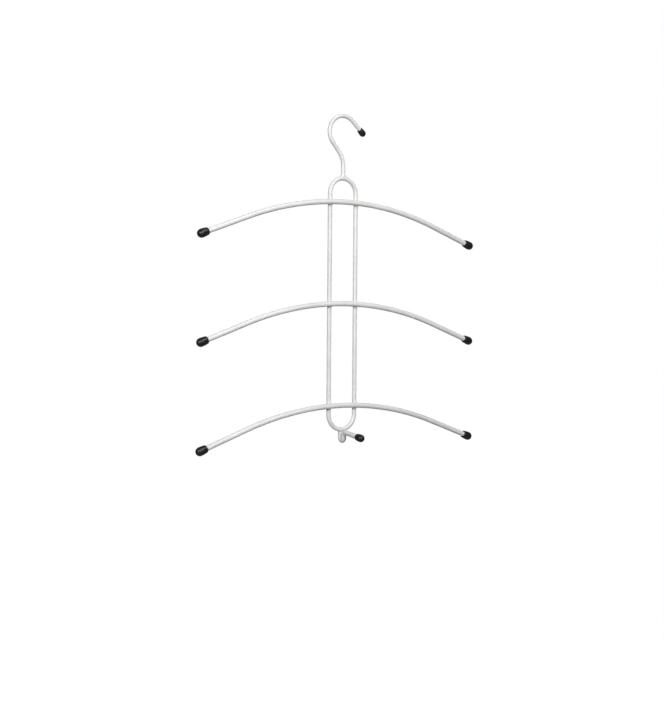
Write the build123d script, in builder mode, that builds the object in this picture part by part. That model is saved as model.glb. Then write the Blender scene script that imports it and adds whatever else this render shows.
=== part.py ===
from build123d import *
import os
from math import cos, radians, sin

# A scarf hanger of bent steel wire. Three arched arms lie across the front of one tall closed loop,
# a hook stands on the loop's top, and a short peg on a tight wire bend comes forward from its foot.
# The wires are welded bare, and the whole frame is then dipped in plastic, so a coating wraps every
# wire and pools in the corners of the joints. A soft plastic cap is pushed on each of the eight free ends.
# The origin is where the hook's crown rests on the rail. X runs along the arms, the front is -Y, and Z is up.
# Lengths are in millimetres and angles in degrees.
os.makedirs("parts", exist_ok=True)

# Wire and coating
loop_wire_diameter = 4.0
hook_wire_share = 0.95
arm_wire_diameter = 5.0
peg_wire_diameter = 5.0
coat_thickness = 0.6
weld_sink = 0.4
crossing_pool_radius = 2.0
hook_pool_radius = 4.0
peg_pool_radius = 1.6
coat_parting_gap = 0.01

# Main hook, from the rail down to the loop
crown_inside_radius = 17.4
crown_fall_angle = 43.0
tip_run = 22.0
neck_lean_angle = 40.0
neck_radius = 27.0
stem_run = 14.4

# Frame loop
loop_inside_width = 32.0
loop_inside_height = 295.8

# Arms
top_arm_drop = 28.6
foot_arm_rise = 29.0
arm_bend_radius = 391.0
arm_bend_angle = 20.0
arm_end_run = 66.5

# Peg at the foot of the loop
peg_back_offset = 1.35
hairpin_slit = 0.3
hairpin_drop = 9.85
peg_leg_run = 1.5
peg_elbow_radius = 5.0
peg_droop_angle = 8.0
peg_run = 32.6
peg_end_rounding_share = 0.8

# Caps: the largest diameter, the length, and the plastic beyond the wire's end
arm_cap_diameter = 10.3
arm_cap_length = 13.8
arm_cap_end_wall = 2.2
hook_cap_diameter = 7.9
hook_cap_length = 10.4
hook_cap_end_wall = 1.8
peg_cap_diameter = 9.1
peg_cap_length = 11.8
peg_cap_end_wall = 2.0
cap_clearance = 0.05
cap_lip_share = 0.6
cap_mouth_rounding_share = 0.8

# Outside diameters of the coated wires. The hook's wire is a little thinner than the loop's.
hook_wire_diameter = loop_wire_diameter * hook_wire_share
loop_bar_diameter = loop_wire_diameter + 2 * coat_thickness
hook_bar_diameter = hook_wire_diameter + 2 * coat_thickness
arm_bar_diameter = arm_wire_diameter + 2 * coat_thickness
peg_bar_diameter = peg_wire_diameter + 2 * coat_thickness

# The hairpin leaves a narrow slit between the peg's coated legs.
hairpin_radius = (peg_bar_diameter + hairpin_slit) / 2

# The neck's straight run brings the stem back under the middle of the crown.
crown_radius = crown_inside_radius + hook_bar_diameter / 2
crown_wrap_angle = 90 + neck_lean_angle
neck_back = neck_radius * (1 - cos(radians(neck_lean_angle)))
neck_run = (crown_radius * cos(radians(neck_lean_angle)) - neck_back) / sin(radians(neck_lean_angle))

# Heights of the wires' centre lines below the rail
crown_centre_z = -crown_inside_radius
neck_top_z = crown_centre_z - crown_radius * sin(radians(neck_lean_angle))
neck_foot_z = neck_top_z - neck_run * cos(radians(neck_lean_angle)) - neck_radius * sin(radians(neck_lean_angle))
loop_top_z = neck_foot_z - stem_run
loop_foot_z = loop_top_z - loop_inside_height - loop_bar_diameter
loop_bend_radius = (loop_inside_width + loop_bar_diameter) / 2
arm_setback = (loop_wire_diameter + arm_wire_diameter) / 2 - weld_sink
upper_arm_z = loop_top_z - top_arm_drop
lower_arm_z = loop_foot_z + foot_arm_rise
arm_heights = {"upper": upper_arm_z, "middle": (upper_arm_z + lower_arm_z) / 2, "lower": lower_arm_z}

# Each round bar's seam lies on the side that no other bar joins.
ring_seam = (0, 1, 1)
hook_seam = (1, 0, 0)
peg_seam = (0, 1, 0)
arm_seam = (0, -1, 0)

# Centre line of the loop's right half, from the foot round to the top
with BuildLine(Plane.XZ) as loop_half_path:
    foot_bend = JernArc((0, loop_foot_z), (1, 0), loop_bend_radius, 90)
    upright = Line(foot_bend @ 1, (loop_bend_radius, loop_top_z - loop_bend_radius))
    JernArc(upright @ 1, (0, 1), loop_bend_radius, 90)

# Centre line of the main hook, from the loop's top to the tip
with BuildLine(Plane.XZ) as hook_path:
    stem = Line((0, loop_top_z), (0, neck_foot_z))
    neck_bend = JernArc(stem @ 1, stem % 1, neck_radius, neck_lean_angle)
    neck = PolarLine(neck_bend @ 1, neck_run, direction=neck_bend % 1)
    crown = JernArc(neck @ 1, neck % 1, crown_radius, -crown_wrap_angle - crown_fall_angle)
    hook_tip = PolarLine(crown @ 1, tip_run, direction=crown % 1)


def peg_path(end_z):
    """Centre line of the peg, from its cut end at this height: down behind the loop's foot, round the
    hairpin, up in front and forward to the tip."""
    with BuildLine(Plane.YZ) as path:
        back_leg = Line((peg_back_offset, end_z), (peg_back_offset, loop_foot_z - hairpin_drop))
        hairpin = JernArc(back_leg @ 1, back_leg % 1, hairpin_radius, -180)
        front_leg = PolarLine(hairpin @ 1, peg_leg_run, direction=hairpin % 1)
        elbow = JernArc(front_leg @ 1, front_leg % 1, peg_elbow_radius, 90 + peg_droop_angle)
        PolarLine(elbow @ 1, peg_run, direction=elbow % 1)
    return path.wires()[0]


def arm_path(height):
    """Centre line of an arm whose middle is at this height, from its left end to its right end."""
    rise = arm_bend_angle
    with BuildLine(Plane.XZ.offset(arm_setback)) as path:
        arch = CenterArc((0, height - arm_bend_radius), arm_bend_radius, 90 + rise, -2 * rise)
        PolarLine(arch @ 0, -arm_end_run, direction=arch % 0)
        PolarLine(arch @ 1, arm_end_run, direction=arch % 1)
    return path.wires()[0]


def sweep_round(path, diameter, seam, mode=Mode.ADD):
    """Carries a round section along a centre line, in the sub-part that calls it."""
    with BuildSketch(Plane(origin=path @ 0, x_dir=seam, z_dir=path % 0)) as section:
        Circle(diameter / 2)
    sweep(sections=section.sketch, path=path, mode=mode)


def sweep_coated_peg(growth=0):
    """The coated peg as a plain bar, grown all round by this much. Its cut end is coated too and rounded over."""
    sweep_round(peg_path(loop_foot_z + coat_thickness + growth), peg_bar_diameter + 2 * growth, peg_seam)
    fillet(faces().filter_by(Plane.XY).edges(), coat_thickness * peg_end_rounding_share + growth)


def ring(diameter):
    """The whole loop as a round bar of this diameter."""
    with BuildPart() as bar:
        sweep_round(loop_half_path.line, diameter, ring_seam)
        mirror(about=Plane.YZ)
    return bar.part


def joining_bars(growth):
    """The coated hook, peg and arms as plain bars, grown all round by this much. Hook and peg stop at the ring."""
    with BuildPart() as hook_bar:
        sweep_round(hook_path.line, hook_bar_diameter + 2 * growth, hook_seam)
        add(coated_ring, mode=Mode.SUBTRACT)
    with BuildPart() as peg_bar:
        sweep_coated_peg(growth)
        add(coated_ring, mode=Mode.SUBTRACT)
    bars = [hook_bar.part, peg_bar.part]
    for path in arm_paths.values():
        with BuildPart() as arm_bar:
            sweep_round(path, arm_bar_diameter + 2 * growth, arm_seam)
        bars.append(arm_bar.part)
    return bars


arm_paths = {name: arm_path(height) for name, height in arm_heights.items()}
coated_ring = ring(loop_bar_diameter)

# Frame loop wire: a closed ring, butt-welded into one piece
with BuildPart() as frame_loop_wire:
    add(ring(loop_wire_diameter))
frame_loop_wire.part.label = "frame_loop_wire"
export_step(frame_loop_wire.part, "parts/frame_loop_wire.step")

# Main hook wire: it stands on the ring and sinks into it at the weld
with BuildPart() as main_hook_wire:
    sweep_round(hook_path.line, hook_wire_diameter, hook_seam)
    add(frame_loop_wire.part, mode=Mode.SUBTRACT)
main_hook_wire.part.label = "main_hook_wire"
export_step(main_hook_wire.part, "parts/main_hook_wire.step")

# Lower hook wire: its back leg is butt-welded to the ring's foot
with BuildPart() as lower_hook_wire:
    sweep_round(peg_path(loop_foot_z), peg_wire_diameter, peg_seam)
    add(frame_loop_wire.part, mode=Mode.SUBTRACT)
lower_hook_wire.part.label = "lower_hook_wire"
export_step(lower_hook_wire.part, "parts/lower_hook_wire.step")

# Arm wires and coatings: each arm is saddled by the two uprights that it crosses
for name, path in arm_paths.items():
    with BuildPart() as arm_wire:
        sweep_round(path, arm_wire_diameter, arm_seam)
        add(frame_loop_wire.part, mode=Mode.SUBTRACT)
    arm_wire.part.label = f"{name}_arm_wire"
    export_step(arm_wire.part, f"parts/{name}_arm_wire.step")

    with BuildPart() as arm_coating:
        sweep_round(path, arm_bar_diameter, arm_seam)
        sweep_round(path, arm_wire_diameter, arm_seam, mode=Mode.SUBTRACT)
        add(frame_loop_wire.part, mode=Mode.SUBTRACT)
    arm_coating.part.label = f"{name}_arm_coating"
    export_step(arm_coating.part, f"parts/{name}_arm_coating.step")

# Main hook coating
with BuildPart() as main_hook_coating:
    sweep_round(hook_path.line, hook_bar_diameter, hook_seam)
    sweep_round(hook_path.line, hook_wire_diameter, hook_seam, mode=Mode.SUBTRACT)
    add(coated_ring, mode=Mode.SUBTRACT)
main_hook_coating.part.label = "main_hook_coating"
export_step(main_hook_coating.part, "parts/main_hook_coating.step")

# Lower hook coating
with BuildPart() as lower_hook_coating:
    sweep_coated_peg()
    sweep_round(peg_path(loop_foot_z), peg_wire_diameter, peg_seam, mode=Mode.SUBTRACT)
    add(coated_ring, mode=Mode.SUBTRACT)
lower_hook_coating.part.label = "lower_hook_coating"
export_step(lower_hook_coating.part, "parts/lower_hook_coating.step")

# Frame loop coating: the outside of the whole dipped frame, with concave pools of plastic in the
# corners of its joints, parted from the other coated bars and hollow for the wires
with BuildPart() as frame_loop_coating:
    add([coated_ring, *joining_bars(0)])
    joints = edges().filter_by(GeomType.BSPLINE)
    hook_joint = joints.filter_by_position(Axis.Z, loop_top_z - loop_bend_radius, loop_top_z + loop_bend_radius)
    peg_joint = joints.filter_by_position(Axis.Z, loop_foot_z - loop_bend_radius, loop_foot_z + loop_bend_radius)
    crossings = joints - hook_joint - peg_joint
    fillet(hook_joint, hook_pool_radius)
    fillet(peg_joint, peg_pool_radius)
    fillet(crossings, crossing_pool_radius)
    add(joining_bars(coat_parting_gap), mode=Mode.SUBTRACT)
    add([frame_loop_wire.part, main_hook_wire.part, lower_hook_wire.part], mode=Mode.SUBTRACT)
frame_loop_coating.part.label = "frame_loop_coating"
export_step(frame_loop_coating.part, "parts/frame_loop_coating.step")

# Caps on the free ends: the wire's end, the way it points, its coated diameter and the cap's own sizes
arm_cap_sizes = (arm_bar_diameter, arm_cap_diameter, arm_cap_length, arm_cap_end_wall)
hook_cap_sizes = (hook_bar_diameter, hook_cap_diameter, hook_cap_length, hook_cap_end_wall)
peg_cap_sizes = (peg_bar_diameter, peg_cap_diameter, peg_cap_length, peg_cap_end_wall)
cap_seats = {
    "main_hook_cap": (hook_tip @ 1, hook_tip % 1, hook_cap_sizes),
    "lower_hook_cap": (peg_path(loop_foot_z) @ 1, peg_path(loop_foot_z) % 1, peg_cap_sizes),
}
for name, path in arm_paths.items():
    cap_seats[f"{name}_arm_left_cap"] = (path @ 0, -(path % 0), arm_cap_sizes)
    cap_seats[f"{name}_arm_right_cap"] = (path @ 1, path % 1, arm_cap_sizes)

# Each cap is a barrel with a round end. Its lip takes up a share of the wall at its widest place.
for name, (wire_end, outward, cap_sizes) in cap_seats.items():
    bar_diameter, largest_diameter, length, end_wall = cap_sizes
    depth = length - end_wall
    bore = bar_diameter / 2 + cap_clearance
    belly = largest_diameter / 2
    belly_height = length - belly
    lip_thickness = (belly - bore) * cap_lip_share
    mouth = Plane(origin=wire_end - outward * depth, z_dir=outward)
    with BuildPart() as cap:
        with BuildSketch(Plane(origin=mouth.origin, x_dir=mouth.x_dir, z_dir=-mouth.y_dir)):
            with BuildLine():
                round_end = CenterArc((0, belly_height), belly, 0, 90)
                side = TangentArc(round_end @ 0, (bore + lip_thickness, 0), tangent=(0, -1))
                Polyline(side @ 1, (bore, 0), (bore, depth), (0, depth), round_end @ 1)
            make_face()
            mouth_edge = vertices().group_by(Axis.Y)[0].sort_by(Axis.X)[-1]
            fillet(mouth_edge, lip_thickness * cap_mouth_rounding_share)
        revolve(axis=Axis(mouth.origin, outward))
    cap.part.label = name
    export_step(cap.part, f"parts/{name}.step")
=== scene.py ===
import math
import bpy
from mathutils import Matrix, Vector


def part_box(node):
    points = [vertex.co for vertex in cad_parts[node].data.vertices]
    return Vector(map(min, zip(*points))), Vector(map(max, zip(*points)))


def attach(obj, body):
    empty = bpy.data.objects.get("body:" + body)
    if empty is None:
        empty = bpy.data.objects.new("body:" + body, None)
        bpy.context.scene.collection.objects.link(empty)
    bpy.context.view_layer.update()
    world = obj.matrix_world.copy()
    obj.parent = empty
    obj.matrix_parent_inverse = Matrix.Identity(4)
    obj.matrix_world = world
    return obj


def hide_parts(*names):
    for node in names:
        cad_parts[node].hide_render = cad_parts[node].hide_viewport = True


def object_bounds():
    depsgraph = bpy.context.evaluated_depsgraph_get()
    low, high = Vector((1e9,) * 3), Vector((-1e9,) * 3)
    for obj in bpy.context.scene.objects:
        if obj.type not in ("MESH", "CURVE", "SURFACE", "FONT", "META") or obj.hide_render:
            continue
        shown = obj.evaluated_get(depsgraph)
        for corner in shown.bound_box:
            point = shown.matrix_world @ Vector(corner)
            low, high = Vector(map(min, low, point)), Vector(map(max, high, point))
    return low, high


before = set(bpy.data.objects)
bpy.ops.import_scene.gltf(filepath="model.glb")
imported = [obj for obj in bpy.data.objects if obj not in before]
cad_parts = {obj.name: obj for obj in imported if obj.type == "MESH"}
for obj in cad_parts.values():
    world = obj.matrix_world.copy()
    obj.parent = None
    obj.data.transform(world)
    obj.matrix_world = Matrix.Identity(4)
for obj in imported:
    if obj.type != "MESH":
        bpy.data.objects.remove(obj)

from types import SimpleNamespace

import bpy
import numpy as np
from bpy.props import FloatProperty, FloatVectorProperty, IntProperty, PointerProperty
from mathutils import Matrix, Vector

bl_info = {
    "name": "Scarf Hanger",
    "version": (1, 0, 0),
    "blender": (4, 5, 0),
    "location": "3D View > Sidebar > Hanger",
    "description": "Coats, caps and lights the wire frame of a three-arm scarf hanger",
    "category": "Object",
}

# Lengths are in metres and angles in radians, in the CAD's own frame: X along the arms, the front is -Y, Z is
# up, and the origin is where the hook's crown rests on the rail. Steel wires stay as CAD nodes. The dipped
# coating and the caps are worked out here, on the same centre lines as the CAD solids that they replace.
CAD_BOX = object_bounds()
ACROSS, DEPTH, HEIGHT = range(3)
TINY = 1e-9  # keeps divisions from dividing by nought
WHITE = (1, 1, 1, 1)
ARMS = ("upper", "middle", "lower")
WIRES = ("frame_loop_wire", "main_hook_wire", "lower_hook_wire", *(f"{arm}_arm_wire" for arm in ARMS))


def node_size(node, axis):
    """The size of a CAD node along one axis."""
    low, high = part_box(node)
    return high[axis] - low[axis]


# Diameters of the bare wires and of the coated ones, read from the CAD nodes
ARM_WIRE = node_size("upper_arm_wire", DEPTH)
ARM_BAR = node_size("upper_arm_coating", DEPTH)
COAT = (ARM_BAR - ARM_WIRE) / 2
LOOP_WIRE = node_size("frame_loop_wire", DEPTH)
LOOP_BAR = LOOP_WIRE + 2 * COAT
HOOK_WIRE = node_size("main_hook_wire", DEPTH)
HOOK_BAR = HOOK_WIRE + 2 * COAT
PEG_WIRE = node_size("lower_hook_wire", ACROSS)
PEG_BAR = PEG_WIRE + 2 * COAT

# A pool as wide as a rounding of some radius is POOL_WIDTH times that radius in the measure of smooth_union.
# The coat keeps its full thickness up to FULL_COAT from a joint, and thins freely from THIN_COAT on.
POOL_WIDTH = 1.17
FULL_COAT = 0.004
THIN_COAT = 0.015
# Rings over the cut end of the peg's back leg: round its rim, and across it
RIM_RINGS = 8
END_RINGS = 6
# Points along each stretch of a cap's outline, from the floor of its bore round to its tip
CAP_POINTS = SimpleNamespace(floor=5, bore=6, inner_edge=6, outer_edge=12, barrel=14, round_end=28)

# Sizes of the blotches in the materials
THICKNESS_BLOTCH = 0.018
COAT_GLOSS_BLOTCH = 0.006
RUB_BLOTCH = 0.0035
CAP_GLOSS_BLOTCH = 0.002
FLOOR_BLOTCH = 0.4
FLOOR_SHADE = 0.985  # the floor's darker tone, as a share of its colour
FLOOR_ROUGHNESS = 0.9

# The picture, in pixels, and the camera's film and reach
PICTURE_WIDTH, PICTURE_HEIGHT = 664, 705
SENSOR_WIDTH = 36  # in millimetres
CAMERA_REACH = 100


# Sizes and colours that can be changed in the sidebar


def length(name, description, default):
    """A length setting, in metres."""
    return FloatProperty(
        name=name, description=description, default=default, min=0, precision=5, unit="LENGTH"
    )


def place(name, description, default):
    """A position setting along one axis, in metres."""
    return FloatProperty(name=name, description=description, default=default, precision=5, unit="LENGTH")


def angle(name, description, default_degrees):
    """An angle setting. Its default is given in degrees."""
    default = math.radians(default_degrees)
    return FloatProperty(name=name, description=description, default=default, subtype="ANGLE")


def share(name, description, default):
    """A setting between none and all."""
    return FloatProperty(name=name, description=description, default=default, min=0, max=1, subtype="FACTOR")


def power(name, description, default):
    """A lamp's power in watts."""
    return FloatProperty(name=name, description=description, default=default, min=0)


def colour(name, description, default):
    """A colour setting, in linear light."""
    return FloatVectorProperty(
        name=name, description=description, default=default, size=3, min=0, max=1, subtype="COLOR"
    )


def pixels(name, description, default):
    """A measure in pixels of the picture."""
    return FloatProperty(name=name, description=description, default=default)


def faces_around(description, default):
    """A count of faces round a piece."""
    return IntProperty(name="Faces around", description=description, default=default, min=12, max=160)


class HangerBends(bpy.types.PropertyGroup):
    """How the wires are bent, as their centre lines run."""

    arm_radius: length("Arm arch radius", "Radius of an arm's middle arch", 0.391)
    arm_angle: angle("Arm end slope", "How far each end of an arm slopes down", 20)
    arm_run: length("Arm end run", "Straight run at each end of an arm", 0.0665)
    weld_sink: length("Weld sink", "How far an arm sinks into the loop's wire at the weld", 0.0004)
    stem_run: length("Stem run", "Straight stem of the main hook above the loop", 0.0144)
    neck_radius: length("Neck radius", "Radius of the main hook's neck bend", 0.027)
    neck_angle: angle("Neck lean", "How far the neck leans to the left", 40)
    crown_inside: length("Crown inside radius", "Inside radius of the main hook's crown", 0.0174)
    crown_fall: angle("Crown fall", "How far the crown turns down past the horizontal run", 43)
    tip_run: length("Tip run", "Straight run at the main hook's tip", 0.022)
    peg_setback: length("Peg setback", "How far the peg's back leg stands behind the loop", 0.00135)
    hairpin_drop: length("Hairpin drop", "Straight run of the back leg below the loop's foot line", 0.00985)
    hairpin_slit: length("Hairpin slit", "Slit between the two coated legs of the hairpin", 0.0003)
    front_leg_run: length("Front leg run", "Straight run of the front leg below the elbow", 0.0015)
    elbow_radius: length("Elbow radius", "Radius of the bend from the front leg to the peg", 0.005)
    peg_droop: angle("Peg droop", "How far the peg slopes down towards its tip", 8)
    peg_run: length("Peg run", "Straight run of the peg", 0.0326)


class HangerCoating(bpy.types.PropertyGroup):
    """The dipped plastic on the wires."""

    arm_pool: length("Arm pool radius", "Radius of the plastic in the corners of an arm's weld", 0.002)
    hook_pool: length("Hook pool radius", "Radius of the plastic in the corners of the hook's foot", 0.004)
    peg_pool: length("Peg pool radius", "Radius of the plastic in the corners of the peg's weld", 0.0016)
    thinning: length("Thinning", "How much thinner the coat runs in places", 0.00006)
    thinning_wave: length("Thinning wave", "Distance from one thin place to the next", 0.043)
    around: faces_around("Faces round each coated wire", 56)
    colour: colour("Colour", "The plastic where it lies thick", (0.80, 0.80, 0.785))
    thin_colour: colour("Thin colour", "The plastic where it lies thin", (0.73, 0.738, 0.72))
    gloss_roughness: share("Smooth roughness", "Roughness of the smoothest places", 0.26)
    dull_roughness: share("Dull roughness", "Roughness of the dullest places", 0.36)
    peel_size: length("Peel size", "Size of the fine ripples in the skin", 0.0013)
    peel_depth: length("Peel depth", "Depth of the fine ripples in the skin", 0.00001)


class HangerCaps(bpy.types.PropertyGroup):
    """The soft caps pushed on the free ends of the wires."""

    arm_length: length("Arm cap length", "Length of the caps on the arms", 0.0138)
    arm_wall: length("Arm cap end wall", "Plastic beyond the wire's end in an arm's cap", 0.0022)
    hook_length: length("Main hook cap length", "Length of the cap on the main hook", 0.0104)
    hook_wall: length("Main hook cap end wall", "Plastic beyond the wire's end in the hook's cap", 0.0018)
    peg_length: length("Peg cap length", "Length of the cap on the peg", 0.0118)
    peg_wall: length("Peg cap end wall", "Plastic beyond the wire's end in the peg's cap", 0.002)
    lip_share: share("Lip share", "Thickness of the mouth's lip, as a share of the wall at its widest", 0.6)
    rounding_share: share("Mouth rounding share", "Rounding of the mouth's edge, as a share of the lip", 0.8)
    inner_rounding: length("Inner rounding", "Radius of the mouth's inner edge", 0.00012)
    clearance: length("Clearance", "Room between the coated wire and the cap's bore", 0.00005)
    around: faces_around("Faces round each cap", 72)
    colour: colour("Colour", "The soft black plastic", (0.003, 0.003, 0.0034))
    worn_colour: colour("Worn colour", "The plastic where hands and cloth rub it", (0.008, 0.008, 0.009))
    gloss_roughness: share("Smooth roughness", "Roughness of the smoothest places", 0.3)
    dull_roughness: share("Dull roughness", "Roughness of the dullest places", 0.42)
    grain_size: length("Grain size", "Size of the moulded grain", 0.0004)
    grain_depth: length("Grain depth", "Depth of the moulded grain", 0.00001)


class HangerSteel(bpy.types.PropertyGroup):
    """The drawn steel wires under the coating."""

    colour: colour("Colour", "Bare drawn steel", (0.56, 0.56, 0.57))
    scale_colour: colour("Scale colour", "Steel with a film of soap and mill scale", (0.33, 0.33, 0.34))
    gloss_roughness: share("Smooth roughness", "Roughness of the drawn surface", 0.28)
    dull_roughness: share("Dull roughness", "Roughness where scale stays on", 0.46)
    patch_size: length("Patch size", "Size of the patches of scale", 0.004)
    scratch_depth: length("Scratch depth", "Depth of the drawing marks", 0.000004)


class HangerStudio(bpy.types.PropertyGroup):
    """Camera, floor and light."""

    camera_yaw: angle("Camera yaw", "How far the camera stands round to the left of the front", 34)
    camera_distance: length("Camera distance", "Distance from the rail seat's upright axis", 1.5525)
    camera_sideways: place("Camera sideways", "How far the camera stands to its left of that axis", 0.0121)
    camera_height: place("Camera height", "Height of the camera above the rail seat", -0.23736)
    camera_roll: angle("Camera roll", "Turn of the camera about its own line of sight", -0.431)
    focal_pixels: pixels("Focal length", "Focal length in pixels of the picture", 1293.8)
    horizon_row: pixels("Horizon row", "Row of the picture that holds the horizon", 315.7)
    floor_height: place("Floor height", "Height of the floor above the rail seat", -1.25)
    floor_size: length("Floor size", "Side of the square floor", 30.0)
    floor_colour: colour("Floor colour", "Colour of the floor in the light", (0.25, 0.25, 0.25))
    floor_glow: share("Floor glow", "How much of the floor's white is its own", 0.97)
    mirrored: share("Mirrored backdrop", "Brightness of the backdrop in reflections", 0.08)
    ambient: share("Ambient", "Strength of the light from all round", 0.13)
    lamp_distance: length("Lamp distance", "Distance of each lamp from the hanger's middle", 1.65)
    lamp_size: length("Lamp size", "Side of each square lamp", 0.5)
    key_power: power("Key power", "Power of the main lamp", 12.5)
    key_turn: angle("Key turn", "How far the main lamp stands to the right of the camera", 22)
    key_rise: angle("Key rise", "How far the main lamp stands up", 20)
    fill_power: power("Fill power", "Power of the lamp that lightens the shaded side", 13.5)
    fill_turn: angle("Fill turn", "How far that lamp stands to the right of the camera", -28)
    fill_rise: angle("Fill rise", "How far that lamp stands up", 10)
    high_power: power("High power", "Power of the lamp high up", 8.5)
    high_turn: angle("High turn", "How far that lamp stands to the right of the camera", 50)
    high_rise: angle("High rise", "How far that lamp stands up", 50)
    back_power: power("Back power", "Power of the lamp behind the hanger", 20)
    back_turn: angle("Back turn", "How far that lamp stands to the right of the camera", 180)
    back_rise: angle("Back rise", "How far that lamp stands up", 12)


# Centre lines of the bent wires


class BentLine:
    """The centre line of a bent wire that lies in one plane.

    Each piece starts where the last one ends and has its own length and steady curvature. From a start with
    heading h, the point at a distance s along curvature k is
    start + s * sinc(k s / 2) * (cos(h + k s / 2), sin(h + k s / 2)), where sinc(x) is sin(x) / x,
    which is a straight run where k is nought. The plane holds the two unit vectors along and up, and lies at
    an offset along their cross product.
    """

    def __init__(self, along, start, heading, pieces, offset=0.0, closed=False):
        self.along = np.array(along, float)
        self.up = np.array((0.0, 0.0, 1.0))
        self.normal = np.cross(self.along, self.up)
        self.offset = offset
        self.closed = closed
        self.lengths = np.array([run for run, curvature in pieces])
        self.curvatures = np.array([curvature for run, curvature in pieces])
        self.ends = np.cumsum(self.lengths)
        self.length = self.ends[-1]
        self.headings = heading + np.concatenate(([0.0], np.cumsum(self.lengths * self.curvatures)[:-1]))
        self.starts = np.zeros((len(pieces), 2))
        self.starts[0] = start
        for i in range(1, len(pieces)):
            self.starts[i] = self.flat_point(i - 1, self.lengths[i - 1])

    def flat_point(self, piece, run):
        """Points in the plane at distances run from the start of their pieces, by the formula above."""
        half_turn = self.curvatures[piece] * run / 2
        heading = self.headings[piece] + half_turn
        chord = run * np.sinc(half_turn / np.pi)
        return self.starts[piece] + np.stack((chord * np.cos(heading), chord * np.sin(heading)), axis=-1)

    def place(self, flat):
        """Points of the plane as points in space."""
        return flat[..., :1] * self.along + flat[..., 1:] * self.up + self.offset * self.normal

    def at(self, s):
        """Points at distances s along the line, with the onward and the left-hand directions there."""
        piece = np.minimum(np.searchsorted(self.ends, s), len(self.ends) - 1)
        run = s - (self.ends - self.lengths)[piece]
        heading = (self.headings[piece] + self.curvatures[piece] * run)[..., None]
        onward = np.cos(heading) * self.along + np.sin(heading) * self.up
        left = np.cos(heading) * self.up - np.sin(heading) * self.along
        return self.place(self.flat_point(piece, run)), onward, left

    def distance(self, points):
        """Distances from points in space to the line, and the unit directions away from it.

        On a straight run the nearest place is the dot product with its direction, and on an arc it is the
        angle about the arc's centre, measured from the arc's middle. Both are held between the piece's ends.
        """
        flat = np.stack((points @ self.along, points @ self.up), axis=-1)
        nearest = np.full(points.shape[:-1], np.inf)
        away = np.zeros(points.shape)
        for i, (run, curvature) in enumerate(zip(self.lengths, self.curvatures)):
            if curvature == 0:
                onward = np.array((math.cos(self.headings[i]), math.sin(self.headings[i])))
                s = (flat - self.starts[i]) @ onward
            else:
                inward = np.array((-math.sin(self.headings[i]), math.cos(self.headings[i])))
                centre = self.starts[i] + inward / curvature
                middle = self.flat_point(i, run / 2) - centre
                spoke = flat - centre
                turn = np.arctan2(middle[0] * spoke[..., 1] - middle[1] * spoke[..., 0], spoke @ middle)
                s = run / 2 + turn / curvature
            s = np.clip(s, 0, run)
            gap = points - self.place(self.flat_point(np.full(s.shape, i), s))
            size = np.linalg.norm(gap, axis=-1)
            closer = size < nearest
            nearest = np.where(closer, size, nearest)
            away = np.where(closer[..., None], gap / np.maximum(size, TINY)[..., None], away)
        return nearest, away


def loop_line():
    """The loop: up the right side, over the top bend, down the left side and round the foot bend."""
    low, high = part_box("frame_loop_wire")
    radius = (high[ACROSS] - low[ACROSS] - LOOP_WIRE) / 2
    foot = low[HEIGHT] + LOOP_WIRE / 2
    top = high[HEIGHT] - LOOP_WIRE / 2
    upright = (top - foot - 2 * radius, 0.0)
    bend = (math.pi * radius, 1 / radius)
    pieces = (upright, bend, upright, bend)
    return BentLine((1, 0, 0), (radius, foot + radius), math.pi / 2, pieces, closed=True)


def hook_line(bends):
    """The main hook: up the stem from the loop's top, left along the neck and over the crown to the tip."""
    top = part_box("frame_loop_wire")[1][HEIGHT] - LOOP_WIRE / 2
    radius = bends.crown_inside + HOOK_BAR / 2
    fall = math.pi / 2 + bends.neck_angle + bends.crown_fall
    neck_back = bends.neck_radius * (1 - math.cos(bends.neck_angle))
    neck_run = (radius * math.cos(bends.neck_angle) - neck_back) / math.sin(bends.neck_angle)
    pieces = (
        (bends.stem_run, 0.0),
        (bends.neck_radius * bends.neck_angle, 1 / bends.neck_radius),
        (neck_run, 0.0),
        (radius * fall, -1 / radius),
        (bends.tip_run, 0.0),
    )
    return BentLine((1, 0, 0), (0, top), math.pi / 2, pieces)


def peg_line(bends):
    """The peg: down behind the loop's foot, round the hairpin, up in front, and forward to the tip."""
    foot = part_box("frame_loop_wire")[0][HEIGHT] + LOOP_WIRE / 2
    hairpin = (PEG_BAR + bends.hairpin_slit) / 2
    elbow = math.pi / 2 + bends.peg_droop
    pieces = (
        (bends.hairpin_drop, 0.0),
        (math.pi * hairpin, -1 / hairpin),
        (bends.front_leg_run, 0.0),
        (bends.elbow_radius * elbow, 1 / bends.elbow_radius),
        (bends.peg_run, 0.0),
    )
    return BentLine((0, 1, 0), (bends.peg_setback, foot), -math.pi / 2, pieces)


def arm_line(bends, arm):
    """An arm, from its left end: a straight run up, the arch over the middle, and a straight run down."""
    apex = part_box(f"{arm}_arm_wire")[1][HEIGHT] - ARM_WIRE / 2
    slope = bends.arm_angle
    left = bends.arm_radius * math.sin(slope) + bends.arm_run * math.cos(slope)
    drop = bends.arm_radius * (1 - math.cos(slope)) + bends.arm_run * math.sin(slope)
    setback = (LOOP_WIRE + ARM_WIRE) / 2 - bends.weld_sink
    end = (bends.arm_run, 0.0)
    arch = (2 * bends.arm_radius * slope, -1 / bends.arm_radius)
    return BentLine((1, 0, 0), (-left, apex - drop), slope, (end, arch, end), offset=setback)


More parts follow.
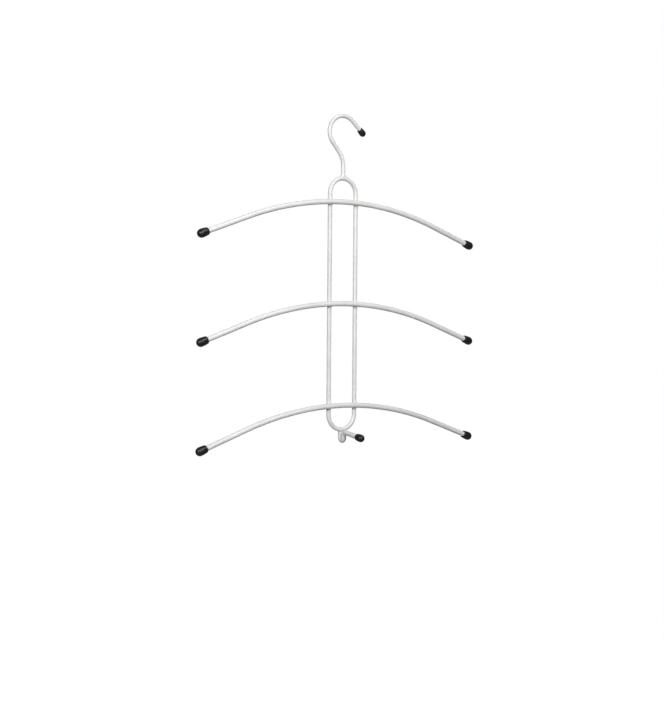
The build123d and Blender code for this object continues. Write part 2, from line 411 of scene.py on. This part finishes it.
def hanger_bars(bends):
    """Every wire of the hanger by name: its centre line, and its bare and coated radii."""
    bars = {
        "frame_loop": SimpleNamespace(line=loop_line(), wire=LOOP_WIRE / 2, coated=LOOP_BAR / 2),
        "main_hook": SimpleNamespace(line=hook_line(bends), wire=HOOK_WIRE / 2, coated=HOOK_BAR / 2),
        "lower_hook": SimpleNamespace(line=peg_line(bends), wire=PEG_WIRE / 2, coated=PEG_BAR / 2),
    }
    for arm in ARMS:
        bars[f"{arm}_arm"] = SimpleNamespace(line=arm_line(bends, arm), wire=ARM_WIRE / 2, coated=ARM_BAR / 2)
    return bars


# Meshes


def sheet_faces(rows, around, first=0, closed=False):
    """Quads of a grid of rings, each ring closed round. With closed set, the last ring joins the first."""
    row = np.arange(rows if closed else rows - 1)[:, None]
    column = np.arange(around)[None, :]
    after = (row + 1) % rows
    beside = (column + 1) % around
    corners = (row * around + column, row * around + beside, after * around + beside, after * around + column)
    return first + np.stack(corners, axis=-1).reshape(-1, 4)


def pole_faces(ring_start, around, pole, starts_sheet):
    """Triangles from a ring to the one point that closes it."""
    column = np.arange(around)
    here, beside = ring_start + column, ring_start + (column + 1) % around
    tip = np.full(around, pole)
    return np.stack((tip, beside, here) if starts_sheet else (here, beside, tip), axis=-1)


def add_piece(name, points, quads, triangles=None):
    """A smooth mesh object at the origin, made from whole arrays. It takes the place of the CAD node it is
    named for."""
    triangles = np.zeros((0, 3), int) if triangles is None else triangles
    corners = np.concatenate((quads.ravel(), triangles.ravel()))
    starts = np.concatenate((np.arange(len(quads)) * 4, quads.size + np.arange(len(triangles)) * 3))
    mesh = bpy.data.meshes.new(name + "_skin")
    mesh.vertices.add(len(points))
    mesh.vertices.foreach_set("co", points.astype(np.float32).ravel())
    mesh.loops.add(len(corners))
    mesh.loops.foreach_set("vertex_index", corners.astype(np.int32))
    mesh.polygons.add(len(starts))
    mesh.polygons.foreach_set("loop_start", starts.astype(np.int32))
    mesh.polygons.foreach_set("use_smooth", np.ones(len(starts), bool))
    mesh.update(calc_edges=True)
    if mesh.validate():
        raise RuntimeError(f"{name}: the mesh had faces that Blender had to mend")
    piece = bpy.data.objects.new(name + "_skin", mesh)
    bpy.context.scene.collection.objects.link(piece)
    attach(piece, "root")
    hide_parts(name)
    return piece


def check_against_cad(name, points, slack=0.0002):
    """Stops where a piece's box leaves the box of its CAD node by more than the slack."""
    low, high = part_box(name)
    gap = max(np.abs(points.min(axis=0) - low).max(), np.abs(points.max(axis=0) - high).max())
    if gap > slack:
        raise RuntimeError(f"{name}: its box is {gap * 1000:.2f} mm off the CAD node's box")


# The dipped coating


def smooth_union(a, b, away_a, away_b, width):
    """Distance to two bars joined by a pool of plastic: the lesser distance, less a parabola where the two
    are nearly equal. The pool is as wide as stated where the two skins stand square to each other, and none
    where they are parallel."""
    spread = width * np.clip(1 - (away_a * away_b).sum(axis=-1), 0, 1)
    nearness = np.clip(1 - np.abs(a - b) / np.maximum(spread, TINY), 0, 1)
    return np.minimum(a, b) - nearness**2 * spread / 4


def smooth_step(value, low, high):
    """0 below low, 1 above high, and a smooth cubic between."""
    t = np.clip((value - low) / (high - low), 0, 1)
    return t * t * (3 - 2 * t)


def clear_of_joints(bar, others, s):
    """How far the bar's skin is from the nearest other bar's skin, at distances s along it."""
    points = bar.line.at(s)[0]
    gaps = [other.line.distance(points)[0] - other.coated - bar.coated for other, _ in others]
    return np.min(gaps, axis=0)


def skin_stations(bar, others, joint_step=0.0003, growth=0.25, plain_step=0.002, bend_degrees=4.0):
    """Distances along a bar at which its skin gets a ring of points.

    The step between rings is fine at the joints, grows away from them, and turns through no more than a few
    degrees in a bend. Rings lie at equal counts of steps, counted over places a tenth of a millimetre apart.
    """
    fine = np.linspace(0, bar.line.length, int(bar.line.length / 0.0001))
    piece = np.minimum(np.searchsorted(bar.line.ends, fine), len(bar.line.ends) - 1)
    bend_step = math.radians(bend_degrees) / np.maximum(np.abs(bar.line.curvatures[piece]), TINY)
    reach = max(width for _, width in others)
    step = joint_step + growth * np.maximum(clear_of_joints(bar, others, fine) - reach, 0)
    step = np.minimum(np.minimum(step, plain_step), bend_step)
    count = np.concatenate(([0.0], np.cumsum(np.diff(fine) * 2 / (step[1:] + step[:-1]))))
    rings = int(count[-1]) + 1
    s = np.interp(np.linspace(0, count[-1], rings + 1), count, fine)
    return s[:-1] if bar.line.closed else s


def spokes(line, s, turn):
    """Centres of the rings at distances s along a line, and the unit directions away from it at each turn:
    cos(turn) * left + sin(turn) * the plane's normal."""
    centre, _, left = line.at(s)
    away = np.cos(turn)[None, :, None] * left[:, None, :] + np.sin(turn)[None, :, None] * line.normal
    return centre[:, None, :], away


def coat_thinning(coating, s, turn, clear, seed):
    """How much thinner the coat is at distances s and turns: nothing near the joints, and two slow waves
    elsewhere, 0.5 + 0.3 sin(w + cos(turn + seed)) + 0.2 sin(2.3 w + sin(2 turn)) of the most, where w runs
    through a full circle in one thinning_wave."""
    wave = s[:, None] * 2 * np.pi / coating.thinning_wave + seed
    thin = 0.5 + 0.3 * np.sin(wave + np.cos(turn + seed)) + 0.2 * np.sin(2.3 * wave + np.sin(2 * turn))
    return coating.thinning * thin * smooth_step(clear, FULL_COAT, THIN_COAT)[:, None]


def skin_radius(bar, others, s, turn, coating, seed, wall=0.00005, overlap=0.00025, rounds=15):
    """Radius of the coated skin at distances s along a bar and turns round it, by halving the range that
    holds it.

    Inside the skin the joined distance of the bars is below nought. Where another bar is nearer, a gentle
    rise is added, and a steep one after a small overlap, so that each bar's skin ends just under its
    neighbour's, along the line halfway.
    """
    gentle, steep = 0.08, 3
    centre, away = spokes(bar.line, s, turn)
    plain = bar.coated - coat_thinning(coating, s, turn, clear_of_joints(bar, others, s), seed)
    low = np.full(plain.shape, bar.wire + wall)
    high = plain + max(width for _, width in others)
    for _ in range(rounds):
        radius = (low + high) / 2
        points = centre + radius[..., None] * away
        skin = radius - plain
        nearest_other = np.full(plain.shape, np.inf)
        for other, width in others:
            distance, other_away = other.line.distance(points)
            nearest_other = np.minimum(nearest_other, distance - other.coated)
            skin = smooth_union(skin, distance - other.coated, away, other_away, width)
        beyond = radius - plain - nearest_other
        skin = skin + gentle * np.maximum(beyond, 0) + steep * np.maximum(beyond - overlap, 0)
        low = np.where(skin < 0, radius, low)
        high = np.where(skin < 0, high, radius)
    return (low + high) / 2


def tube_points(line, s, turn, radius):
    """Rings of points round a line, at a radius from it."""
    centre, away = spokes(line, s, turn)
    return centre + radius[..., None] * away


def coat_bar(name, bars, joints, coating):
    """The coating of one wire, as two rows of rings: out along the coated surface and back along the wire's.

    Joints give the name of each wire that this one is welded to, with the radius of the pool there.
    """
    bar = bars[name]
    others = [(bars[other], POOL_WIDTH * pool) for other, pool in joints]
    turn = np.linspace(0, 2 * np.pi, coating.around, endpoint=False)
    s = skin_stations(bar, others)
    radius = skin_radius(bar, others, s, turn, coating, seed=len(name))
    outside = tube_points(bar.line, s, turn, radius)
    inside = tube_points(bar.line, s[::-1], turn, np.full(radius.shape, bar.wire))
    return outside, inside


# Materials


def new_material(name):
    """An empty node material with a Principled shader and the piece's own coordinates."""
    material = bpy.data.materials.new(name)
    material.use_nodes = True
    tree = material.node_tree
    tree.nodes.clear()
    output = tree.nodes.new("ShaderNodeOutputMaterial")
    shader = tree.nodes.new("ShaderNodeBsdfPrincipled")
    tree.links.new(shader.outputs["BSDF"], output.inputs["Surface"])
    coordinates = tree.nodes.new("ShaderNodeTexCoord").outputs["Object"]
    return material, tree, shader, coordinates


def noise(tree, coordinates, size, detail=3.0, roughness=0.5):
    """Noise whose blotches are about this size."""
    texture = tree.nodes.new("ShaderNodeTexNoise")
    texture.inputs["Scale"].default_value = 1 / size
    texture.inputs["Detail"].default_value = detail
    texture.inputs["Roughness"].default_value = roughness
    tree.links.new(coordinates, texture.inputs["Vector"])
    return texture.outputs["Fac"]


def between(tree, value, low, high, from_low=0.35, from_high=0.65):
    """A number that runs from low to high as the value runs over its middle range."""
    spread = tree.nodes.new("ShaderNodeMapRange")
    spread.inputs["From Min"].default_value = from_low
    spread.inputs["From Max"].default_value = from_high
    spread.inputs["To Min"].default_value = low
    spread.inputs["To Max"].default_value = high
    tree.links.new(value, spread.inputs["Value"])
    return spread.outputs["Result"]


def mixed_colour(tree, share_of_second, first, second):
    """A colour between two, by a number from 0 to 1."""
    mix = tree.nodes.new("ShaderNodeMix")
    mix.data_type = "RGBA"
    mix.inputs["A"].default_value = (*first, 1)
    mix.inputs["B"].default_value = (*second, 1)
    tree.links.new(share_of_second, mix.inputs["Factor"])
    return mix.outputs["Result"]


def bumped(tree, height, depth, under=None):
    """Surface directions bumped by a height from 0 to 1, laid over another bump where there is one."""
    bump = tree.nodes.new("ShaderNodeBump")
    bump.inputs["Distance"].default_value = depth
    tree.links.new(height, bump.inputs["Height"])
    if under is not None:
        tree.links.new(under, bump.inputs["Normal"])
    return bump.outputs["Normal"]


def bumps_on_swells(tree, coordinates, size, depth, wider, deeper=5):
    """Fine bumps of this size and depth, laid over soft swells that are so many times wider and deeper."""
    swells = bumped(tree, noise(tree, coordinates, size * wider, detail=1), depth * deeper)
    return bumped(tree, noise(tree, coordinates, size, detail=2), depth, swells)


def coating_material(coating):
    """Dipped pearl-white plastic: half gloss, a little greyer where it lies thin, with fine ripples over soft
    runs in its skin."""
    material, tree, shader, coordinates = new_material("dipped_pearl_plastic")
    thinness = between(tree, noise(tree, coordinates, THICKNESS_BLOTCH), 0, 1)
    tone = mixed_colour(tree, thinness, coating.colour, coating.thin_colour)
    tree.links.new(tone, shader.inputs["Base Color"])
    gloss = noise(tree, coordinates, COAT_GLOSS_BLOTCH)
    dullness = between(tree, gloss, coating.gloss_roughness, coating.dull_roughness)
    tree.links.new(dullness, shader.inputs["Roughness"])
    peel = bumps_on_swells(tree, coordinates, coating.peel_size, coating.peel_depth, wider=6)
    tree.links.new(peel, shader.inputs["Normal"])
    return material


def cap_material(caps):
    """Moulded soft black plastic: satin, rubbed a little paler in places, with a fine grain."""
    material, tree, shader, coordinates = new_material("soft_black_plastic")
    rub = between(tree, noise(tree, coordinates, RUB_BLOTCH, detail=5), 0, 1)
    tree.links.new(mixed_colour(tree, rub, caps.colour, caps.worn_colour), shader.inputs["Base Color"])
    gloss = noise(tree, coordinates, CAP_GLOSS_BLOTCH, detail=4)
    dullness = between(tree, gloss, caps.gloss_roughness, caps.dull_roughness)
    tree.links.new(dullness, shader.inputs["Roughness"])
    grain = bumps_on_swells(tree, coordinates, caps.grain_size, caps.grain_depth, wider=8)
    tree.links.new(grain, shader.inputs["Normal"])
    return material


def steel_material(steel):
    """Drawn steel wire with patches of scale, duller in smaller patches, and fine drawing marks."""
    material, tree, shader, coordinates = new_material("drawn_steel")
    patches = between(tree, noise(tree, coordinates, steel.patch_size, detail=6), 0, 1)
    tree.links.new(mixed_colour(tree, patches, steel.colour, steel.scale_colour), shader.inputs["Base Color"])
    gloss = noise(tree, coordinates, steel.patch_size / 2)
    dullness = between(tree, gloss, steel.gloss_roughness, steel.dull_roughness)
    tree.links.new(dullness, shader.inputs["Roughness"])
    marks = noise(tree, coordinates, steel.patch_size / 16, detail=4, roughness=0.7)
    tree.links.new(bumped(tree, marks, steel.scratch_depth), shader.inputs["Normal"])
    shader.inputs["Metallic"].default_value = 1
    return material


def shared_material(name, make, settings):
    """The material of this name, made at its first use."""
    return bpy.data.materials.get(name) or make(settings)


# Operators


def coating_and_bars(context):
    """The coating's settings, and every wire of the hanger."""
    scene = context.scene
    return scene.hanger_coating, hanger_bars(scene.hanger_bends)


class CoatLoop(bpy.types.Operator):
    """Coat the frame loop, with pools of plastic where the arms, the main hook and the peg join it"""

    bl_idname = "hanger.coat_loop"
    bl_label = "Coat the Loop"

    def execute(self, context):
        coating, bars = coating_and_bars(context)
        joints = [(f"{arm}_arm", coating.arm_pool) for arm in ARMS]
        joints += [("main_hook", coating.hook_pool), ("lower_hook", coating.peg_pool)]
        outside, inside = coat_bar("frame_loop", bars, joints, coating)
        rows, around = outside.shape[:2]
        check_against_cad("frame_loop_wire", inside.reshape(-1, 3))
        points = np.concatenate((outside.reshape(-1, 3), inside.reshape(-1, 3)))
        skins = [sheet_faces(rows, around, first, closed=True) for first in (0, rows * around)]
        piece = add_piece("frame_loop_coating", points, np.concatenate(skins))
        finish_coating(piece, coating)
        return {"FINISHED"}


class CoatMainHook(bpy.types.Operator):
    """Coat the main hook, from its foot in the loop to the end inside its cap"""

    bl_idname = "hanger.coat_main_hook"
    bl_label = "Coat the Main Hook"

    def execute(self, context):
        coating, bars = coating_and_bars(context)
        coat_open_bar("main_hook", bars, [("frame_loop", coating.hook_pool)], coating)
        return {"FINISHED"}


class CoatArms(bpy.types.Operator):
    """Coat the three arms, with pools of plastic where they cross the loop"""

    bl_idname = "hanger.coat_arms"
    bl_label = "Coat the Arms"

    def execute(self, context):
        coating, bars = coating_and_bars(context)
        for arm in ARMS:
            coat_open_bar(f"{arm}_arm", bars, [("frame_loop", coating.arm_pool)], coating)
        return {"FINISHED"}


class CoatLowerHook(bpy.types.Operator):
    """Coat the lower hook, over the cut end of its back leg, round the hairpin and along the peg"""

    bl_idname = "hanger.coat_lower_hook"
    bl_label = "Coat the Lower Hook"

    def execute(self, context):
        coating, bars = coating_and_bars(context)
        bar = bars["lower_hook"]
        outside, inside = coat_bar("lower_hook", bars, [("frame_loop", coating.peg_pool)], coating)
        around = outside.shape[1]
        # The plastic over the cut end: the rim rounds over in a quarter circle, then runs in to the middle.
        over = np.linspace(0, np.pi / 2, RIM_RINGS + 1)[1:]
        inset = COAT * (1 - np.cos(over))
        in_to_middle = np.linspace(1, 0, END_RINGS + 2)[1:-1]
        shrink = np.concatenate((1 - inset / bar.coated, (1 - COAT / bar.coated) * in_to_middle))
        rise = np.concatenate((COAT * np.sin(over), np.full(END_RINGS, COAT)))
        centre, onward, _ = bar.line.at(np.zeros(1))
        rim = outside[0] - centre
        end_rings = centre + rim[None] * shrink[:, None, None] - onward * rise[:, None, None]
        skin = np.concatenate((end_rings[::-1], outside, inside))
        points = np.concatenate((skin.reshape(-1, 3), centre - onward * COAT, centre))
        rows = len(skin)
        first_pole = pole_faces(0, around, rows * around, True)
        last_pole = pole_faces((rows - 1) * around, around, rows * around + 1, False)
        poles = np.concatenate((first_pole, last_pole))
        piece = add_piece("lower_hook_coating", points, sheet_faces(rows, around), poles)
        finish_coating(piece, coating)
        return {"FINISHED"}


def coat_open_bar(name, bars, joints, coating):
    """The coating of a wire with two ends. Its surfaces close on themselves: outside, end, inside, end."""
    skin = np.concatenate(coat_bar(name, bars, joints, coating))
    rows, around = skin.shape[:2]
    piece = add_piece(f"{name}_coating", skin.reshape(-1, 3), sheet_faces(rows, around, closed=True))
    finish_coating(piece, coating)


def finish_coating(piece, coating):
    """Gives a coated piece its plastic."""
    piece.data.materials.append(shared_material("dipped_pearl_plastic", coating_material, coating))


def cap_profile(bore, belly, cap_length, end_wall, lip, outer_rounding, inner_rounding):
    """The cap's outline as distances along its axis from the mouth, and radii.

    From the floor of the bore it runs out along the bore and round the two edges of the mouth. Then it
    follows the barrel's side, an arc that is level at the belly, and the round end, a quarter circle. The
    side's radius is (rise^2 + run^2) / (2 rise) for its rise from the lip to the belly, and the mouth's outer
    rounding touches both the mouth's face and the side from inside.
    """
    depth = cap_length - end_wall
    run = cap_length - belly
    rise = belly - bore - lip
    side = (rise**2 + run**2) / (2 * rise)
    side_centre = np.array((run, belly - side))
    lift = math.sqrt((side - outer_rounding) ** 2 - (run - outer_rounding) ** 2)
    edge_centre = np.array((outer_rounding, side_centre[1] + lift))
    touch = math.atan2(lift, outer_rounding - run)

    def arc(centre, radius, start, end, count):
        angles = np.linspace(start, end, count)[:, None]
        return centre + radius * np.concatenate((np.cos(angles), np.sin(angles)), axis=1)

    count = CAP_POINTS
    floor = np.stack((np.full(count.floor, depth), np.linspace(0, bore, count.floor + 1)[1:]), axis=-1)
    along_bore = np.linspace(depth, inner_rounding, count.bore + 2)[1:-1]
    wall = np.stack((along_bore, np.full(count.bore, bore)), axis=-1)
    inner_centre = np.array((inner_rounding, bore + inner_rounding))
    inner_edge = arc(inner_centre, inner_rounding, -np.pi / 2, -np.pi, count.inner_edge)
    outer_edge = arc(edge_centre, outer_rounding, np.pi, touch, count.outer_edge)
    barrel = arc(side_centre, side, touch, np.pi / 2, count.barrel)[1:]
    round_end = arc(np.array((run, 0.0)), belly, np.pi / 2, 0, count.round_end)[1:-1]
    return np.concatenate((floor, wall, inner_edge, outer_edge, barrel, round_end))


class FitCaps(bpy.types.Operator):
    """Push an egg-shaped cap on each of the eight free ends"""

    bl_idname = "hanger.fit_caps"
    bl_label = "Fit the Caps"

    def execute(self, context):
        scene = context.scene
        caps = scene.hanger_caps
        bars = hanger_bars(scene.hanger_bends)
        arm_sizes = (node_size("upper_arm_left_cap", DEPTH) / 2, caps.arm_length, caps.arm_wall)
        hook_sizes = (node_size("main_hook_cap", DEPTH) / 2, caps.hook_length, caps.hook_wall)
        peg_sizes = (node_size("lower_hook_cap", ACROSS) / 2, caps.peg_length, caps.peg_wall)
        seats = [
            ("main_hook_cap", bars["main_hook"], 1, hook_sizes),
            ("lower_hook_cap", bars["lower_hook"], 1, peg_sizes),
        ]
        for arm in ARMS:
            seats.append((f"{arm}_arm_left_cap", bars[f"{arm}_arm"], -1, arm_sizes))
            seats.append((f"{arm}_arm_right_cap", bars[f"{arm}_arm"], 1, arm_sizes))
        turn = np.linspace(0, 2 * np.pi, caps.around, endpoint=False)
        for name, bar, way, (belly, cap_length, end_wall) in seats:
            end, onward, left = bar.line.at(np.array([bar.line.length if way > 0 else 0.0]))
            outward = onward[0] * way
            side = left[0]
            other_side = np.cross(outward, side)
            mouth = end[0] - outward * (cap_length - end_wall)
            bore = bar.coated + caps.clearance
            lip = (belly - bore) * caps.lip_share
            edges = (lip * caps.rounding_share, caps.inner_rounding)
            profile = cap_profile(bore, belly, cap_length, end_wall, lip, *edges)
            away = np.cos(turn)[:, None] * side + np.sin(turn)[:, None] * other_side
            rings = mouth + profile[:, None, :1] * outward + profile[:, None, 1:] * away
            floor = mouth + outward * (cap_length - end_wall)
            tip = mouth + outward * cap_length
            points = np.concatenate((rings.reshape(-1, 3), floor[None], tip[None]))
            check_against_cad(name, points)
            rows, around = rings.shape[:2]
            floor_pole = pole_faces(0, around, rows * around, True)
            tip_pole = pole_faces((rows - 1) * around, around, rows * around + 1, False)
            poles = np.concatenate((floor_pole, tip_pole))
            piece = add_piece(name, points, sheet_faces(rows, around), poles)
            piece.data.materials.append(shared_material("soft_black_plastic", cap_material, caps))
        return {"FINISHED"}


class FinishWires(bpy.types.Operator):
    """Give the six steel wires inside the coating their drawn surface"""

    bl_idname = "hanger.finish_wires"
    bl_label = "Finish the Wires"

    def execute(self, context):
        material = shared_material("drawn_steel", steel_material, context.scene.hanger_steel)
        for wire in WIRES:
            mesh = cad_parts[wire].data
            mesh.materials.clear()
            mesh.materials.append(material)
        return {"FINISHED"}


def backdrop_share(tree, mirrored):
    """1 for rays from the camera and refracted ones. Mirrored rays see less of it, because a real backdrop
    stands on one side only."""
    path = tree.nodes.new("ShaderNodeLightPath")
    dimmed = tree.nodes.new("ShaderNodeMath")
    dimmed.operation = "MULTIPLY"
    tree.links.new(path.outputs["Is Glossy Ray"], dimmed.inputs[0])
    dimmed.inputs[1].default_value = mirrored
    total = dimmed.outputs["Value"]
    for ray in ("Is Camera Ray", "Is Transmission Ray"):
        either = tree.nodes.new("ShaderNodeMath")
        either.operation = "MAXIMUM"
        tree.links.new(total, either.inputs[0])
        tree.links.new(path.outputs[ray], either.inputs[1])
        total = either.outputs["Value"]
    return total


def white_background(tree, strength):
    """A white backdrop of this strength."""
    background = tree.nodes.new("ShaderNodeBackground")
    background.inputs["Color"].default_value = WHITE
    background.inputs["Strength"].default_value = strength
    return background.outputs["Background"]


def set_world(studio):
    """A backdrop that is white to look at and gives a soft light from all round."""
    world = bpy.data.worlds.new("studio_backdrop")
    bpy.context.scene.world = world
    world.use_nodes = True
    tree = world.node_tree
    tree.nodes.clear()
    output = tree.nodes.new("ShaderNodeOutputWorld")
    mix = tree.nodes.new("ShaderNodeMixShader")
    tree.links.new(backdrop_share(tree, studio.mirrored), mix.inputs["Fac"])
    tree.links.new(white_background(tree, studio.ambient), mix.inputs[1])
    tree.links.new(white_background(tree, 1), mix.inputs[2])
    tree.links.new(mix.outputs["Shader"], output.inputs["Surface"])


def add_floor(studio):
    """A plain pale floor, far below the hanger. Part of its white is its own. The rest keeps the shadow."""
    half = studio.floor_size / 2
    corners = [(-half, -half), (half, -half), (half, half), (-half, half)]
    mesh = bpy.data.meshes.new("studio_floor")
    mesh.from_pydata([(x, y, studio.floor_height) for x, y in corners], [], [(0, 1, 2, 3)])
    floor = bpy.data.objects.new("studio_floor", mesh)
    bpy.context.scene.collection.objects.link(floor)
    material, tree, shader, coordinates = new_material("pale_floor")
    tone = between(tree, noise(tree, coordinates, FLOOR_BLOTCH), 0, 1)
    darker = tuple(FLOOR_SHADE * channel for channel in studio.floor_colour)
    tree.links.new(mixed_colour(tree, tone, studio.floor_colour, darker), shader.inputs["Base Color"])
    shader.inputs["Roughness"].default_value = FLOOR_ROUGHNESS
    shader.inputs["Specular IOR Level"].default_value = 0
    shader.inputs["Emission Color"].default_value = WHITE
    glow = between(tree, backdrop_share(tree, studio.mirrored), 0, studio.floor_glow, 0, 1)
    tree.links.new(glow, shader.inputs["Emission Strength"])
    mesh.materials.append(material)


def add_lamp(name, watts, size, stand, target):
    """A square soft lamp at a point, turned towards another. The camera doesn't see it."""
    lamp = bpy.data.lights.new(name, "AREA")
    lamp.shape = "SQUARE"
    lamp.size = size
    lamp.energy = watts
    lamp_object = bpy.data.objects.new(name, lamp)
    bpy.context.scene.collection.objects.link(lamp_object)
    lamp_object.location = stand
    lamp_object.rotation_euler = (target - stand).to_track_quat("-Z", "Y").to_euler()
    lamp_object.visible_camera = False
    return lamp_object


class SetStudio(bpy.types.Operator):
    """Set the camera, the floor, the backdrop and the lamps"""

    bl_idname = "hanger.set_studio"
    bl_label = "Set the Studio"

    def execute(self, context):
        studio = context.scene.hanger_studio
        yaw = studio.camera_yaw
        ahead = Vector((math.sin(yaw), math.cos(yaw), 0))
        right = Vector((math.cos(yaw), -math.sin(yaw), 0))
        upward = Vector((0, 0, 1))
        stand = -right * studio.camera_sideways - ahead * studio.camera_distance
        stand.z = studio.camera_height
        camera = bpy.data.cameras.new("camera")
        camera.sensor_fit = "HORIZONTAL"
        camera.sensor_width = SENSOR_WIDTH
        camera.lens = SENSOR_WIDTH * studio.focal_pixels / PICTURE_WIDTH
        camera.shift_y = (studio.horizon_row - PICTURE_HEIGHT / 2) / PICTURE_WIDTH
        camera.clip_end = CAMERA_REACH
        camera_object = bpy.data.objects.new("camera", camera)
        context.scene.collection.objects.link(camera_object)
        level = Matrix((right, upward, -ahead)).transposed()
        roll = Matrix.Rotation(-studio.camera_roll, 3, "Z")
        camera_object.matrix_world = Matrix.Translation(stand) @ (level @ roll).to_4x4()
        context.scene.camera = camera_object

        set_world(studio)
        add_floor(studio)
        low, high = CAD_BOX
        middle = (low + high) / 2
        for name in ("key", "fill", "high", "back"):
            watts, turn, rise = (getattr(studio, f"{name}_{what}") for what in ("power", "turn", "rise"))
            level_line = right * math.sin(turn) - ahead * math.cos(turn)
            stand = middle + (level_line * math.cos(rise) + upward * math.sin(rise)) * studio.lamp_distance
            lamp = add_lamp(name + "_lamp", watts, studio.lamp_size, stand, middle)
            lamp.visible_glossy = name != "back"
        context.scene.view_settings.view_transform = "Standard"
        return {"FINISHED"}


class HangerPanel(bpy.types.Panel):
    """The hanger's settings and the steps that make it"""

    bl_idname = "HANGER_PT_steps"
    bl_label = "Scarf Hanger"
    bl_space_type = "VIEW_3D"
    bl_region_type = "UI"
    bl_category = "Hanger"

    def draw(self, context):
        layout = self.layout
        for title, (group_name, group_class) in SETTINGS.items():
            box = layout.box()
            box.label(text=title)
            group = getattr(context.scene, group_name)
            for name in group_class.__annotations__:
                box.prop(group, name)
        for step in STEPS:
            layout.operator(step.bl_idname)


SETTINGS = {
    "Bends": ("hanger_bends", HangerBends),
    "Coating": ("hanger_coating", HangerCoating),
    "Caps": ("hanger_caps", HangerCaps),
    "Steel": ("hanger_steel", HangerSteel),
    "Studio": ("hanger_studio", HangerStudio),
}
STEPS = (FinishWires, CoatLoop, CoatMainHook, CoatArms, CoatLowerHook, FitCaps, SetStudio)


def register():
    for name, group in SETTINGS.values():
        bpy.utils.register_class(group)
        setattr(bpy.types.Scene, name, PointerProperty(type=group))
    for step in (*STEPS, HangerPanel):
        bpy.utils.register_class(step)


def unregister():
    for step in (HangerPanel, *reversed(STEPS)):
        bpy.utils.unregister_class(step)
    for name, group in reversed(SETTINGS.values()):
        delattr(bpy.types.Scene, name)
        bpy.utils.unregister_class(group)


def main():
    """Makes the whole hanger and its studio."""
    register()
    bpy.ops.hanger.finish_wires()
    bpy.ops.hanger.coat_loop()
    bpy.ops.hanger.coat_main_hook()
    bpy.ops.hanger.coat_arms()
    bpy.ops.hanger.coat_lower_hook()
    bpy.ops.hanger.fit_caps()
    bpy.ops.hanger.set_studio()


if __name__ == "__main__":
    main()
